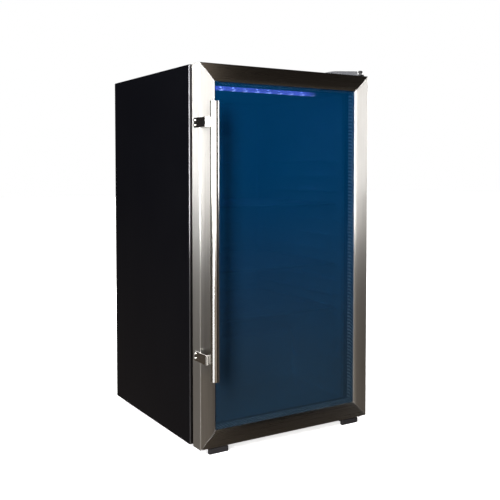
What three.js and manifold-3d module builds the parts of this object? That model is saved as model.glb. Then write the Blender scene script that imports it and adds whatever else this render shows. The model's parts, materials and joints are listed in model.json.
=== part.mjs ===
// Free-standing glass-door refrigerator for drinks, built as an assembly of separate pieces.
// Millimetres. X to the right, Y to the back, Z up. The floor is at Z = 0, and the cabinet's
// width is centred on X = 0. The door is shut; it turns about a vertical axis on the right.

import * as THREE from 'three';
import { mergeVertices } from 'three/addons/utils/BufferGeometryUtils.js';
import Module from 'manifold-3d';

const wasm = await Module();
wasm.setup();

// ---------------------------------------------------------------- driving dimensions

const cabinetWidth = 445;
const cabinetHeight = 812;
const footHeight = 13;
const doorFrontToBack = 480;
const doorThickness = 34.5;
const sealGap = 15.5;
const condenserDepth = 20;
const wallThickness = 38;
const backThickness = 40;
const sheet = 1;
const linerSheet = 2;
const touch = 0.3; // gap between two pieces that meet
const doorClearance = 1.2; // above and below the door
const flangeWidth = 30; // steel face that the door's seal rests on
const stileWidth = 28.5; // flat front face of a door rail
const hingeInset = 10; // pin axis from the door's right side
const barDiameter = 19;
const barInset = 12.5; // bar axis from the door's left side
const shelfPitch = 36; // step of the ribs that carry the shelves
const shelfSteps = [7, 3, 0]; // ribs that hold a shelf, counted from the lowest
const lowestShelfHeight = 269;

// ---------------------------------------------------------------- places worked out from them

const halfWidth = cabinetWidth / 2;
const doorFrontY = 4.5 - (doorFrontToBack - condenserDepth) / 2; // puts Y = 0 near the middle of the whole depth
const doorBackY = doorFrontY + doorThickness;
const cabinetFrontY = doorBackY + sealGap;
const cabinetBackY = doorFrontY + doorFrontToBack;
const cabinetBottomZ = footHeight;
const cabinetTopZ = footHeight + cabinetHeight;
const doorBottomZ = cabinetBottomZ + doorClearance;
const doorTopZ = cabinetTopZ - doorClearance;
const doorCentreZ = (doorBottomZ + doorTopZ) / 2;
const doorHeight = doorTopZ - doorBottomZ;
const insideX = halfWidth - wallThickness;
const insideTopZ = cabinetTopZ - wallThickness;
const insideFloorZ = cabinetBottomZ + wallThickness;
const insideBackY = cabinetBackY - backThickness;
const humpFrontY = 32.5; // step in the liner over the compressor
const humpTopZ = 183;
const bayFrontY = 62.5;
const bayTopZ = 155;
const bayFloorZ = cabinetBottomZ + sheet + touch;
const hingeX = halfWidth - hingeInset;
const hingeY = doorFrontY + 17;
const sideX = -halfWidth; // the door's left side face
const barX = sideX + barInset;

// ---------------------------------------------------------------- materials

const finish = (color, roughness, metalness, opacity = 1) =>
  new THREE.MeshStandardMaterial({ color, roughness, metalness, opacity, transparent: opacity < 1 });

const brushedSteel = finish(0xb9b6b0, 0.32, 0.9);
const polishedSteel = finish(0xd6d4cf, 0.18, 0.95);
const zincSteel = finish(0x9ea0a4, 0.4, 0.8);
const blackPaint = finish(0x111113, 0.42, 0.2);
const galvanised = finish(0x8f9498, 0.5, 0.6);
const blackPlastic = finish(0x1a1a1c, 0.55, 0);
const greyRubber = finish(0x4a4650, 0.85, 0);
const linerPlastic = finish(0xd9dcdf, 0.45, 0);
const foam = finish(0xd8c48a, 0.9, 0);
const paneGlass = finish(0x9db7c4, 0.05, 0, 0.35);
const spacerAluminium = finish(0xb8bcc0, 0.35, 0.9);
const shelfWire = finish(0xc9cbcd, 0.3, 0.8);
const copper = finish(0xb8754a, 0.35, 0.9);
const compressorPaint = finish(0x16171a, 0.4, 0.3);
const ledWhite = finish(0xdfe8ff, 0.4, 0);
const lensPlastic = finish(0xcfe0ff, 0.2, 0, 0.5);
const knobPlastic = finish(0xe9e9e6, 0.4, 0);

// ---------------------------------------------------------------- solids

// A closed geometry as a manifold solid, with only its positions kept.
function toSolid(geometry) {
  const bare = geometry.clone();
  bare.deleteAttribute('normal');
  bare.deleteAttribute('uv');
  const welded = mergeVertices(bare, 1e-4);
  const vertProperties = new Float32Array(welded.attributes.position.array);
  const triVerts = new Uint32Array(welded.index.array);
  return new wasm.Manifold(new wasm.Mesh({ numProp: 3, vertProperties, triVerts }));
}

function toGeometry(solid) {
  const mesh = solid.getMesh();
  const geometry = new THREE.BufferGeometry();
  geometry.setAttribute('position', new THREE.BufferAttribute(mesh.vertProperties, 3));
  geometry.setIndex(new THREE.BufferAttribute(mesh.triVerts, 1));
  return geometry;
}

function join(...geometries) {
  return toGeometry(geometries.map(toSolid).reduce((whole, next) => whole.add(next)));
}

function cut(geometry, ...tools) {
  return toGeometry(tools.map(toSolid).reduce((rest, tool) => rest.subtract(tool), toSolid(geometry)));
}

function common(first, second) {
  return toGeometry(toSolid(first).intersect(toSolid(second)));
}

// A box from its [low, high] span along each axis.
function block(x, y, z) {
  const geometry = new THREE.BoxGeometry(x[1] - x[0], y[1] - y[0], z[1] - z[0]);
  return geometry.translate((x[0] + x[1]) / 2, (y[0] + y[1]) / 2, (z[0] + z[1]) / 2);
}

// A span of the given size about a middle.
const about = (middle, size) => [middle - size / 2, middle + size / 2];

// A shape with its corners rounded. Corners are [a, b] or [a, b, radius].
function outline(corners, radius = 0) {
  const shape = new THREE.Shape();
  corners.forEach(([a, b, own], i) => {
    const here = new THREE.Vector2(a, b);
    const before = new THREE.Vector2(...corners.at(i - 1).slice(0, 2));
    const after = new THREE.Vector2(...corners[(i + 1) % corners.length].slice(0, 2));
    const bend = own ?? radius;
    const start = here.clone().add(before.sub(here).setLength(bend));
    const end = here.clone().add(after.sub(here).setLength(bend));
    if (i === 0) shape.moveTo(start.x, start.y);
    else shape.lineTo(start.x, start.y);
    if (bend > 0) shape.quadraticCurveTo(here.x, here.y, end.x, end.y);
  });
  return shape;
}

// A rectangle's corners from its two spans.
const rectangle = (a, b) => [[a[0], b[0]], [a[1], b[0]], [a[1], b[1]], [a[0], b[1]]];

// A shape drawn in the plane across one axis and drawn out along it. The shape's axes are
// Y, Z for 'x'; X, Z for 'y'; X, Y for 'z'. A bevel rounds both ends within the shape's size.
function prism(shape, axis, span, bevel = 0, curveSegments = 4) {
  const geometry = new THREE.ExtrudeGeometry(shape, {
    depth: span[1] - span[0] - 2 * bevel,
    bevelEnabled: bevel > 0,
    bevelSize: bevel,
    bevelThickness: bevel,
    bevelOffset: -bevel,
    bevelSegments: 2,
    curveSegments,
  });
  const [x, y, z] = [[1, 0, 0], [0, 1, 0], [0, 0, 1]].map((v) => new THREE.Vector3(...v));
  const frames = { x: [y, z, x], y: [x, z, y.clone().negate()], z: [x, y, z] };
  geometry.translate(0, 0, bevel);
  geometry.applyMatrix4(new THREE.Matrix4().makeBasis(...frames[axis]));
  const start = { x: [span[0], 0, 0], y: [0, span[1], 0], z: [0, 0, span[0]] };
  return geometry.translate(...start[axis]);
}

// A round bar between two points.
function rod(from, to, radius, sides = 8) {
  const [start, end] = [from, to].map((p) => new THREE.Vector3(...p));
  const geometry = new THREE.CylinderGeometry(radius, radius, start.distanceTo(end), sides);
  const direction = end.clone().sub(start).normalize();
  geometry.applyQuaternion(new THREE.Quaternion().setFromUnitVectors(new THREE.Vector3(0, 1, 0), direction));
  return geometry.translate(...start.add(end).multiplyScalar(0.5));
}

// A turned piece about a vertical axis, from [radius, height] pairs. The outline runs up the
// outside, so that the faces point out.
function turned(profile, sides = 16) {
  const points = profile.map(([radius, height]) => new THREE.Vector2(radius, height));
  return new THREE.LatheGeometry(points, sides).rotateX(Math.PI / 2);
}

// A turned piece whose axis points along X or Y.
const alongX = (geometry) => geometry.rotateY(Math.PI / 2);
const alongY = (geometry) => geometry.rotateX(-Math.PI / 2);

// A washer or sleeve: the section of a ring, closed on itself.
const sleeve = (bore, radius, low, high, sides) =>
  turned([[bore, low], [radius, low], [radius, high], [bore, high], [bore, low]], sides);

// A route of straight runs whose points are the rings of a tube drawn along it.
class Route extends THREE.Curve {
  constructor(points) {
    super();
    this.points = points;
  }

  getPoint(t, target = new THREE.Vector3()) {
    const place = t * (this.points.length - 1);
    const i = Math.min(Math.floor(place), this.points.length - 2);
    return target.lerpVectors(this.points[i], this.points[i + 1], place - i);
  }

  getUtoTmapping(u) {
    return u;
  }
}

// A bent tube through corner points, with each corner rounded.
function tube(corners, radius, bendRadius, sides = 8, bendSteps = 4) {
  const places = corners.map((p) => new THREE.Vector3(...p));
  const points = [places[0]];
  for (let i = 1; i < places.length - 1; i += 1) {
    const start = places[i - 1].clone().sub(places[i]).setLength(bendRadius).add(places[i]);
    const end = places[i + 1].clone().sub(places[i]).setLength(bendRadius).add(places[i]);
    const bend = new THREE.QuadraticBezierCurve3(start, places[i], end);
    points.push(...bend.getPoints(bendSteps));
  }
  points.push(places.at(-1));
  const section = new THREE.Shape();
  section.absarc(0, 0, radius, 0, 2 * Math.PI);
  return new THREE.ExtrudeGeometry(section, {
    steps: points.length - 1,
    curveSegments: sides,
    extrudePath: new Route(points),
  });
}

// ---------------------------------------------------------------- pieces of a rectangular frame

// Sections are [inward, back] pairs: inward from the door's outer edge, back from its front.
const doorSpot = ([inward, back]) => [inward, doorFrontY + back];

// One mitred rail of the door frame, along the bottom of a frame that is size long.
function mitredRail(section, size, across) {
  const shape = outline(section.map(doorSpot).map(([a, b]) => [b, a]));
  const rail = prism(shape, 'x', [-1, 1]);
  const place = rail.attributes.position;
  const mitreGap = touch * 0.7;
  for (let i = 0; i < place.count; i += 1) {
    const half = size / 2 - place.getZ(i) - mitreGap;
    place.setX(i, Math.sign(place.getX(i)) * half);
  }
  return rail.translate(0, 0, -across / 2);
}

// A closed mitred ring: a four-sided turning, drawn out to a rectangle.
function mitredRing(section, width, height) {
  const half = Math.min(width, height) / 2;
  const profile = section.toReversed().map(([inward, back]) => [Math.SQRT2 * (half - inward), back]);
  const points = [...profile, profile[0]].map(([radius, back]) => new THREE.Vector2(radius, back));
  const ring = new THREE.LatheGeometry(points, 4).rotateY(Math.PI / 4);
  const place = ring.attributes.position;
  for (let i = 0; i < place.count; i += 1) {
    const x = place.getX(i) + Math.sign(place.getX(i)) * (width / 2 - half);
    const z = place.getZ(i) + Math.sign(place.getZ(i)) * (height / 2 - half);
    place.setXYZ(i, x, place.getY(i) + doorFrontY, z);
  }
  return ring.translate(0, 0, doorCentreZ);
}

// ---------------------------------------------------------------- the assembly

const refrigerator = new THREE.Group();

function add(name, geometry, material, place = [0, 0, 0]) {
  const mesh = new THREE.Mesh(geometry, material);
  mesh.name = name;
  mesh.position.set(...place);
  refrigerator.add(mesh);
}

const beyond = 20; // how far a cutting tool reaches past what it cuts

// ---------------------------------------------------------------- cabinet shell

// The cabinet's outer form, drawn in by inset, with its folded edges rounded.
function casing(inset) {
  const radius = 3 - inset;
  const side = halfWidth - inset;
  const top = cabinetTopZ - inset;
  const corners = rectangle([-side, side], [cabinetBottomZ - 2 * beyond, top]);
  const ends = [cabinetFrontY + inset, cabinetBackY - inset];
  return prism(outline(corners, radius), 'y', ends, 0.7 * radius, 3);
}

// One folded sheet: both sides and the top, with faces turned in at the front and the back.
function outerWrap() {
  const rearFold = 12;
  const frontSide = halfWidth - flangeWidth;
  const rearSide = halfWidth - rearFold;
  return cut(
    casing(0),
    casing(sheet),
    block([-halfWidth, halfWidth], [-cabinetHeight, cabinetHeight], [-cabinetHeight, cabinetBottomZ]),
    block([-frontSide, frontSide], about(cabinetFrontY, 10), [0, cabinetTopZ - flangeWidth]),
    block([-rearSide, rearSide], about(cabinetBackY, 10), [0, cabinetTopZ - rearFold]),
  );
}

const glandX = -180;
const glandZ = cabinetBottomZ + 24;

// The floor sheet: turned up at the front under the door's seal, with a tab for the cord's gland.
function basePlate() {
  const side = halfWidth - sheet - touch;
  const frontSide = halfWidth - flangeWidth - touch;
  const lip = sheet + touch;
  const bottom = [cabinetBottomZ, cabinetBottomZ + sheet];
  const back = cabinetBackY - sheet - touch;
  const tab = block(about(glandX, 44), [back - sheet, back], [cabinetBottomZ, glandZ + 22]);
  const hole = rod([glandX, back - 5, glandZ], [glandX, back + 5, glandZ], 8 + touch, 16);
  return join(
    prism(outline(rectangle([-side, side], [cabinetFrontY + lip, back]), 3), 'z', bottom, 0, 2),
    block([-frontSide, frontSide], [cabinetFrontY, cabinetFrontY + 4 * lip], bottom),
    block([-frontSide, frontSide], [cabinetFrontY, cabinetFrontY + lip], [bottom[0], bottom[0] + flangeWidth]),
    cut(tab, hole),
  );
}

const suctionX = -130;
const drainX = 60;
const drainY = 195.5;
const drainRadius = 5;
const suctionY = 198;
const suctionRadius = 4;

// Upright holes that the drain hose and the suction pipe pass through.
const serviceHoles = () => [
  rod([drainX, drainY, bayTopZ - beyond], [drainX, drainY, humpTopZ + 5], drainRadius + 1, 12),
  rod([suctionX, suctionY, bayTopZ - beyond], [suctionX, suctionY, humpTopZ + 5], suctionRadius + 1, 12),
];

// The sheet that closes the compressor's bay off from the foam: its front wall and its roof.
function bayPanel() {
  const side = halfWidth - sheet - touch;
  const back = cabinetBackY - sheet - touch;
  const angle = join(
    block([-side, side], [bayFrontY, bayFrontY + sheet], [bayFloorZ, bayTopZ + sheet]),
    prism(outline(rectangle([-side, side], [bayFrontY, back]), 3), 'z', [bayTopZ, bayTopZ + sheet], 0, 2),
  );
  return cut(angle, ...serviceHoles());
}

function backPanel() {
  const back = cabinetBackY - sheet - touch;
  const side = halfWidth - 4;
  const corners = rectangle([-side, side], [bayTopZ + sheet + touch, cabinetTopZ - 4]);
  return prism(outline(corners), 'y', [back - sheet, back]);
}

// The space inside the liner, grown by the given amount, with rounded edges all round.
function cavity(growth) {
  const radius = 10 + growth;
  const [front, back] = [cabinetFrontY - 2 * beyond, insideBackY + growth];
  const [floor, top] = [insideFloorZ - growth, insideTopZ + growth];
  const [step, stepTop] = [humpFrontY + growth, humpTopZ - growth];
  const corners = [
    [front, floor], [step, floor], [step, stepTop, 10], [back, stepTop], [back, top], [front, top],
  ];
  return prism(outline(corners, radius), 'x', [-insideX - growth, insideX + growth], 0.7 * radius, 3);
}

const ribInset = 10; // how far a rib stands in from the liner's wall
const ribHeight = 6;
const frameWire = 2.5; // radius of a shelf's frame wire
const shelfHeights = shelfSteps.map((step) => lowestShelfHeight + step * shelfPitch);

// One ledge on each wall for every height that a shelf can hang at.
function shelfRibs() {
  const ribs = [];
  for (let step = 0; step < 11; step += 1) {
    const top = lowestShelfHeight + step * shelfPitch - frameWire - touch;
    for (const x of [[insideX - ribInset, insideX + 1], [-insideX - 1, -insideX + ribInset]]) {
      ribs.push(block(x, [-160, 186], [top - ribHeight, top]));
    }
  }
  return ribs;
}

// The moulded inner box: walls, a step over the compressor, shelf ribs and a face at the front.
function liner() {
  const tuckY = cabinetFrontY + sheet + 2 * touch;
  const lipSide = halfWidth - flangeWidth - touch;
  const lip = [cabinetBottomZ + flangeWidth + touch, cabinetTopZ - flangeWidth - touch];
  const tuckSide = lipSide + 16;
  const shell = cut(cavity(linerSheet), block([-500, 500], [-500, tuckY + linerSheet], [-500, 1500]));
  const face = join(
    block([-tuckSide, tuckSide], [tuckY, tuckY + linerSheet], [lip[0] - 16, lip[1] + 16]),
    block([-lipSide, lipSide], [cabinetFrontY, tuckY + linerSheet], lip),
  );
  const body = cut(join(shell, face), cavity(0), ...serviceHoles());
  return join(body, ...shelfRibs());
}

// The foam between the casing and the liner, clear of the compressor's bay.
function insulation() {
  const front = cabinetFrontY + sheet + linerSheet + 3 * touch;
  const back = cabinetBackY - 2 * sheet - 2 * touch;
  const room = block([-halfWidth, halfWidth], [front, back], [bayFloorZ, cabinetTopZ]);
  const bay = block([-300, 300], [bayFrontY - touch, 400], [-50, bayTopZ + sheet + touch]);
  return cut(common(casing(sheet + touch), room), bay, cavity(linerSheet + touch), ...serviceHoles());
}

add('outer_wrap', outerWrap(), blackPaint);
add('base_plate', basePlate(), galvanised);
add('bay_panel', bayPanel(), galvanised);
add('back_panel', backPanel(), galvanised);
add('liner', liner(), linerPlastic);
add('foam_insulation', insulation(), foam);

// ---------------------------------------------------------------- feet

const footWidth = 46;
const footInset = 23;

// A front foot has a wide toe under the door, so that the cabinet can't tip when the door is
// open. A narrower runner joins the toe to the block that holds the cabinet.
function frontFoot() {
  const [front, back] = [doorFrontY + 3, cabinetFrontY + 56];
  const height = doorBottomZ - 2;
  const toe = prism(outline(rectangle([front, front + 9], [0, height]), 1.5), 'x', about(0, footWidth), 1, 2);
  const runner = block(about(0, footWidth - 26), [front + 6, back], [0, height]);
  const pad = block(about(0, footWidth - 6), [cabinetFrontY + 4, back - 4], [0, cabinetBottomZ - touch]);
  return join(toe, runner, pad);
}

function rearFoot() {
  return prism(outline(rectangle(about(0, 40), about(0, 40)), 6), 'z', [0, cabinetBottomZ - touch], 1, 2);
}

for (const [side, sign] of [['left', -1], ['right', 1]]) {
  const footX = sign * (halfWidth - footInset - footWidth / 2);
  add(`front_foot_${side}`, frontFoot(), greyRubber, [footX, 0, 0]);
  add(`rear_foot_${side}`, rearFoot(), greyRubber, [sign * (halfWidth - 40), cabinetBackY - 34, 0]);
}

// ---------------------------------------------------------------- hinges

const pinRadius = 3;
const pinBore = 3.4;
const leafThickness = 3;
const leafZ = cabinetTopZ + touch;
const leafBoltPlaces = [[166, cabinetFrontY + 22], [196, cabinetFrontY + 22]];
const bushDepth = 18;
const bushRadius = 6;

const pinHole = (z) => rod([hingeX, hingeY, z - beyond], [hingeX, hingeY, z + beyond], pinBore, 24);

// The top leaf lies on the cabinet and reaches forward over the door to the pin. Its slanting
// front edge is folded up.
function topHingeLeaf() {
  const [left, rear] = [118, cabinetFrontY + 36];
  const [foldLeft, foldRight] = [new THREE.Vector2(left, cabinetFrontY + 8), new THREE.Vector2(hingeX - 8, hingeY - 7)];
  const corners = [
    [...foldLeft, 6], [...foldRight, 4], [hingeX + 8, hingeY - 8, 7], [hingeX + 8, rear, 4], [left, rear, 6],
  ];
  const plate = prism(outline(corners), 'z', [leafZ, leafZ + leafThickness]);
  const edge = foldRight.clone().sub(foldLeft);
  const upstand = prism(outline([[7, 1, 0], [94, 1, 0], [94, 10.2, 3], [37, 10.2, 9], [7, 4.5, 1]]), 'y', [0, 2.5])
    .rotateZ(edge.angle())
    .translate(foldLeft.x, foldLeft.y, leafZ);
  const holes = leafBoltPlaces.map(([x, y]) => rod([x, y, leafZ - 5], [x, y, leafZ + 5], 3, 12));
  return cut(join(plate, upstand), pinHole(leafZ), ...holes);
}

// A pin with a mushroom head, which hangs down through the leaf into the door's bush.
function topHingePin() {
  const seat = leafZ + leafThickness + touch;
  const foot = doorTopZ - bushDepth + 3;
  return turned([
    [0, foot], [pinRadius - 0.6, foot], [pinRadius, foot + 1], [pinRadius, seat], [3.6, seat],
    [3.6, seat + 4.5], [5.4, seat + 5.2], [5.4, seat + 7.4], [3.4, seat + 9.2], [0, seat + 9.2],
  ], 20);
}

// A low hexagon bolt, whose shank stops in the leaf.
const leafBolt = () => {
  const seat = leafThickness + touch;
  const head = new THREE.CylinderGeometry(5, 5, 3.6, 6).rotateX(Math.PI / 2).translate(0, 0, seat + 1.8);
  return join(head, rod([0, 0, 0.4], [0, 0, seat + 1], 2.6, 12));
};

// The lower plate lies under the cabinet beside the foot and reaches forward under the door.
function lowerHingePlate() {
  const top = cabinetBottomZ - touch;
  const [left, right] = [halfWidth - footInset + 1, hingeX + 8];
  const corners = rectangle([left, right], [hingeY - 8, cabinetFrontY + 70]);
  return cut(prism(outline(corners, 6), 'z', [top - 2, top]), pinHole(top));
}

function lowerHingePin() {
  const bottom = cabinetBottomZ - touch - 2;
  const top = doorBottomZ + bushDepth - 3;
  return turned([
    [0, bottom - 2.3], [5, bottom - 2.3], [5, bottom - touch], [pinRadius, bottom - touch],
    [pinRadius, top - 1], [pinRadius - 0.6, top], [0, top],
  ], 20);
}

const bush = (low, high) => sleeve(pinBore, bushRadius, low, high, 24);

add('top_hinge_leaf', topHingeLeaf(), zincSteel);
add('top_hinge_pin', topHingePin(), blackPlastic, [hingeX, hingeY, 0]);
leafBoltPlaces.forEach(([x, y], i) => add(`top_hinge_bolt_${i + 1}`, leafBolt(), zincSteel, [x, y, leafZ]));
add('lower_hinge_plate', lowerHingePlate(), zincSteel);
add('lower_hinge_pin', lowerHingePin(), zincSteel, [hingeX, hingeY, 0]);
add('hinge_bush_upper', bush(doorTopZ - bushDepth, doorTopZ - touch), blackPlastic, [hingeX, hingeY, 0]);
add('hinge_bush_lower', bush(doorBottomZ + touch, doorBottomZ + bushDepth), blackPlastic, [hingeX, hingeY, 0]);

// ---------------------------------------------------------------- door frame and glass

const railSheet = 1.2;
const bevelRun = 8; // the sloping inner edge beside the glass
const bevelFall = 3;
const railReturn = 9;
const glassInset = 31; // edge of the panes from the door's outer edge
const sightInset = 42; // inner edge of the spacer and of the core's lip
const paneThickness = 4;
const outerPaneBack = 5.6; // face of the outer pane behind the door's front
const spacerDepth = 12;
const innerPaneBack = outerPaneBack + paneThickness + spacerDepth + 2 * touch;
const coreBack = doorThickness - touch;

// The folded steel section: outer side, rounded front edge, front face, bevel and rear return.
const railSection = [
  [0, 1.6], [0.47, 0.47], [1.6, 0], [stileWidth, 0], [stileWidth + bevelRun, bevelFall],
  [stileWidth + bevelRun, outerPaneBack - touch], [stileWidth + bevelRun - railSheet, outerPaneBack - touch],
  [stileWidth - 0.5, railSheet], [1.8, railSheet], [railSheet, 1.8],
  [railSheet, doorThickness - railSheet], [railReturn, doorThickness - railSheet],
  [railReturn, doorThickness], [0, doorThickness],
];

// The core that carries the glass, with a lip behind it and a groove for the seal.
const coreSection = [
  [railSheet + touch + 1, railSheet + touch], [stileWidth - 1, railSheet + touch], [glassInset - touch, 3.3],
  [glassInset - touch, innerPaneBack + paneThickness + touch], [sightInset, innerPaneBack + paneThickness + touch],
  [sightInset, coreBack], [25, coreBack], [25, coreBack - 5], [18, coreBack - 5], [18, coreBack],
  [railReturn + touch, coreBack], [railReturn + touch, doorThickness - railSheet - touch],
  [railSheet + touch, doorThickness - railSheet - touch], [railSheet + touch, railSheet + touch + 1],
];

// The seal: a dart in the groove, folded bellows and the magnet's pocket.
const gasketSection = [
  [18 + touch, coreBack - 5 + touch], [25 - touch, coreBack - 5 + touch], [25 - touch, coreBack + touch],
  [28.5, coreBack + touch], [28.5, coreBack + 2], [24.5, coreBack + 4.5], [29.5, coreBack + 8],
  [29.5, doorThickness + sealGap - touch], [13.5, doorThickness + sealGap - touch], [13.5, coreBack + 8],
  [18.5, coreBack + 4.5], [14.5, coreBack + 2], [14.5, coreBack + touch], [18 + touch, coreBack + touch],
];

const spacerSection = [
  [glassInset + 1, outerPaneBack + paneThickness + touch], [sightInset, outerPaneBack + paneThickness + touch],
  [sightInset, innerPaneBack - touch], [glassInset + 1, innerPaneBack - touch],
];

const bushHole = (z) => rod([hingeX, hingeY, z - beyond], [hingeX, hingeY, z + beyond], bushRadius + touch, 24);

function pane(back) {
  const [side, end] = [halfWidth - glassInset, doorHeight / 2 - glassInset];
  const corners = rectangle([-side, side], [doorCentreZ - end, doorCentreZ + end]);
  return prism(outline(corners, 2), 'y', [doorFrontY + back, doorFrontY + back + paneThickness]);
}

// ---------------------------------------------------------------- handle

const bracketHeight = 20.5;
const bracketSheet = 3;
const bracketReach = 32; // in front of the door
const bracketGrip = 21; // behind the door's front, along its side
const bracketHeights = { lower: 212.5, upper: 700 };
const barEnds = [footHeight + 155.5, cabinetTopZ - 83];
const barY = doorFrontY - bracketReach - touch - barDiameter / 2;
const screwSpread = 5; // above and below the bracket's middle
const screwY = doorFrontY + 16;
const screwRadius = 1.8;

const handleScrewPlaces = Object.values(bracketHeights)
  .flatMap((z) => [z - screwSpread, z + screwSpread]);

const sideScrewHole = (z) => rod([sideX - 12, screwY, z], [sideX + 13, screwY, z], screwRadius + touch, 12);
const barScrewHole = (z) => rod([barX, barY + 2, z], [barX, doorFrontY - 20, z], screwRadius + touch, 12);

// A strip bent round a corner: screwed to the door's side, it turns in behind the bar.
function handleBracket(z) {
  const outer = sideX - touch - bracketSheet;
  const inner = sideX - touch;
  const [front, rear] = [doorFrontY - bracketReach, doorFrontY + bracketGrip];
  const corners = [
    [outer, rear, 1], [outer, front, 3.5], [barX + 10, front, 1], [barX + 10, front + bracketSheet, 1],
    [inner, front + bracketSheet, 2], [inner, rear, 1],
  ];
  const strip = prism(outline(corners), 'z', about(z, bracketHeight));
  return cut(strip, sideScrewHole(z - screwSpread), sideScrewHole(z + screwSpread), barScrewHole(z));
}

function handleBar() {
  const radius = barDiameter / 2;
  const bar = turned([
    [0, barEnds[0]], [radius - 1.2, barEnds[0]], [radius - 0.3, barEnds[0] + 0.4], [radius, barEnds[0] + 1.3],
    [radius, barEnds[1] - 1.3], [radius - 0.3, barEnds[1] - 0.4], [radius - 1.2, barEnds[1]], [0, barEnds[1]],
  ], 28).translate(barX, barY, 0);
  return cut(bar, ...Object.values(bracketHeights).map(barScrewHole));
}

// A round-headed screw that points along +Z, with its seat at Z = 0.
const screw = (length, headRadius, headHeight) => turned([
  [0, -headHeight], [headRadius * 0.55, -headHeight], [headRadius, -headHeight * 0.35],
  [headRadius, 0], [screwRadius, 0], [screwRadius, length], [0, length],
], 10);

function doorRail(direction) {
  const upright = direction === 'left' || direction === 'right';
  const [size, across] = upright ? [doorHeight, cabinetWidth] : [cabinetWidth, doorHeight];
  const turns = { bottom: 0, left: 1, top: 2, right: 3 };
  const rail = mitredRail(railSection, size, across).rotateY((turns[direction] * Math.PI) / 2);
  rail.translate(0, 0, doorCentreZ);
  const holes = {
    bottom: () => [bushHole(doorBottomZ)],
    top: () => [bushHole(doorTopZ)],
    left: () => handleScrewPlaces.map(sideScrewHole),
    right: () => [],
  };
  return cut(rail, ...holes[direction]());
}

function doorCore() {
  const ring = mitredRing(coreSection, cabinetWidth, doorHeight);
  const bushRoom = [
    rod([hingeX, hingeY, doorTopZ - bushDepth - touch], [hingeX, hingeY, doorTopZ + 5], bushRadius + touch, 24),
    rod([hingeX, hingeY, doorBottomZ - 5], [hingeX, hingeY, doorBottomZ + bushDepth + touch], bushRadius + touch, 24),
  ];
  return cut(ring, ...bushRoom, ...handleScrewPlaces.map(sideScrewHole));
}

for (const direction of ['top', 'bottom', 'left', 'right']) {
  const name = direction === 'top' || direction === 'bottom' ? 'rail' : 'stile';
  add(`door_${name}_${direction}`, doorRail(direction), brushedSteel);
}
add('door_core', doorCore(), blackPlastic);
add('glass_outer', pane(outerPaneBack), paneGlass);
add('glass_spacer', mitredRing(spacerSection, cabinetWidth, doorHeight), spacerAluminium);
add('glass_inner', pane(innerPaneBack), paneGlass);
add('door_gasket', mitredRing(gasketSection, cabinetWidth, doorHeight), greyRubber);

add('handle_bar', handleBar(), polishedSteel);
for (const [name, z] of Object.entries(bracketHeights)) {
  add(`handle_bracket_${name}`, handleBracket(z), polishedSteel);
  const barScrew = alongY(screw(10, 3.4, 1.8)).rotateZ(Math.PI);
  add(`handle_bar_screw_${name}`, barScrew, zincSteel, [barX, doorFrontY - bracketReach + bracketSheet + touch, z]);
}
handleScrewPlaces.forEach((z, i) => {
  const seat = sideX - 2 * touch - bracketSheet;
  add(`handle_screw_${i + 1}`, alongX(screw(14, 3.2, 1.9)), polishedSteel, [seat, screwY, z]);
});

// ---------------------------------------------------------------- shelves

const shelfSide = insideX - 6; // axis of the side wires
const shelfFront = -158;
const shelfBack = 184;
const crossWire = 1.5; // radius of the wires that carry the bottles
const crossWires = 13;

// A frame of four wires, a bar under the middle and a row of thinner wires on top.
function wireShelf() {
  const lift = frameWire + crossWire - 0.6;
  const reach = shelfSide + frameWire;
  const wires = [
    rod([-reach, shelfFront, 0], [reach, shelfFront, 0], frameWire),
    rod([-reach, shelfBack, 0], [reach, shelfBack, 0], frameWire),
    rod([-shelfSide, shelfFront, 0], [-shelfSide, shelfBack, 0], frameWire),
    rod([shelfSide, shelfFront, 0], [shelfSide, shelfBack, 0], frameWire),
    rod([-shelfSide, 10, 0], [shelfSide, 10, 0], frameWire),
  ];
  for (let i = 1; i <= crossWires; i += 1) {
    const x = shelfSide * ((2 * i) / (crossWires + 1) - 1);
    wires.push(rod([x, shelfFront - 1, lift], [x, shelfBack + 1, lift], crossWire, 6));
  }
  return join(...wires);
}

shelfHeights.forEach((z, i) => add(`wire_shelf_${i + 1}`, wireShelf(), shelfWire, [0, 0, z]));

// ---------------------------------------------------------------- light

const stripLength = 320;
const stripY = cabinetFrontY + 20;
const lampCount = 8;
const lampPitch = 30.7;
const firstLampX = -134.5;

const channelRoofZ = insideTopZ - touch - 1.2;

// A thin channel against the liner's roof, open below.
function ledHousing() {
  const z = [channelRoofZ - 0.8, insideTopZ - touch];
  return cut(
    block(about(0, stripLength), about(stripY, 18), z),
    block(about(0, stripLength - 3), about(stripY, 15), [z[0] - 5, channelRoofZ]),
  );
}

// The circuit strip with its row of lamps below it. The lamps stop short of the right end.
function ledBoard() {
  const top = channelRoofZ - touch;
  const pieces = [block([-stripLength / 2 + 4, 98], about(stripY, 10), [top - 1.2, top])];
  for (let i = 0; i < lampCount; i += 1) {
    pieces.push(block(about(firstLampX + i * lampPitch, 5), about(stripY, 5), [top - 2.6, top - 1]));
  }
  return join(...pieces);
}

// A clear trough that stands down from the channel round the lamps.
function ledLens() {
  const wall = 1.2;
  const [front, back] = about(stripY, 14.4);
  const [bottom, top] = [channelRoofZ - 9.2, channelRoofZ - 0.3];
  const outside = [[front, bottom, 4.5], [back, bottom, 4.5], [back, top, 0.5], [front, top, 0.5]];
  const inside = [
    [front + wall, bottom + wall, 3.3], [back - wall, bottom + wall, 3.3],
    [back - wall, top + 1, 0], [front + wall, top + 1, 0],
  ];
  return cut(
    prism(outline(outside), 'x', about(0, stripLength - 3.6), 0.3, 5),
    prism(outline(inside), 'x', about(0, stripLength - 3.6 - 2 * wall), 0, 5),
  );
}

add('led_housing', ledHousing(), blackPlastic);
add('led_board', ledBoard(), ledWhite);
add('led_lens', ledLens(), lensPlastic);

// ---------------------------------------------------------------- controls

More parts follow.
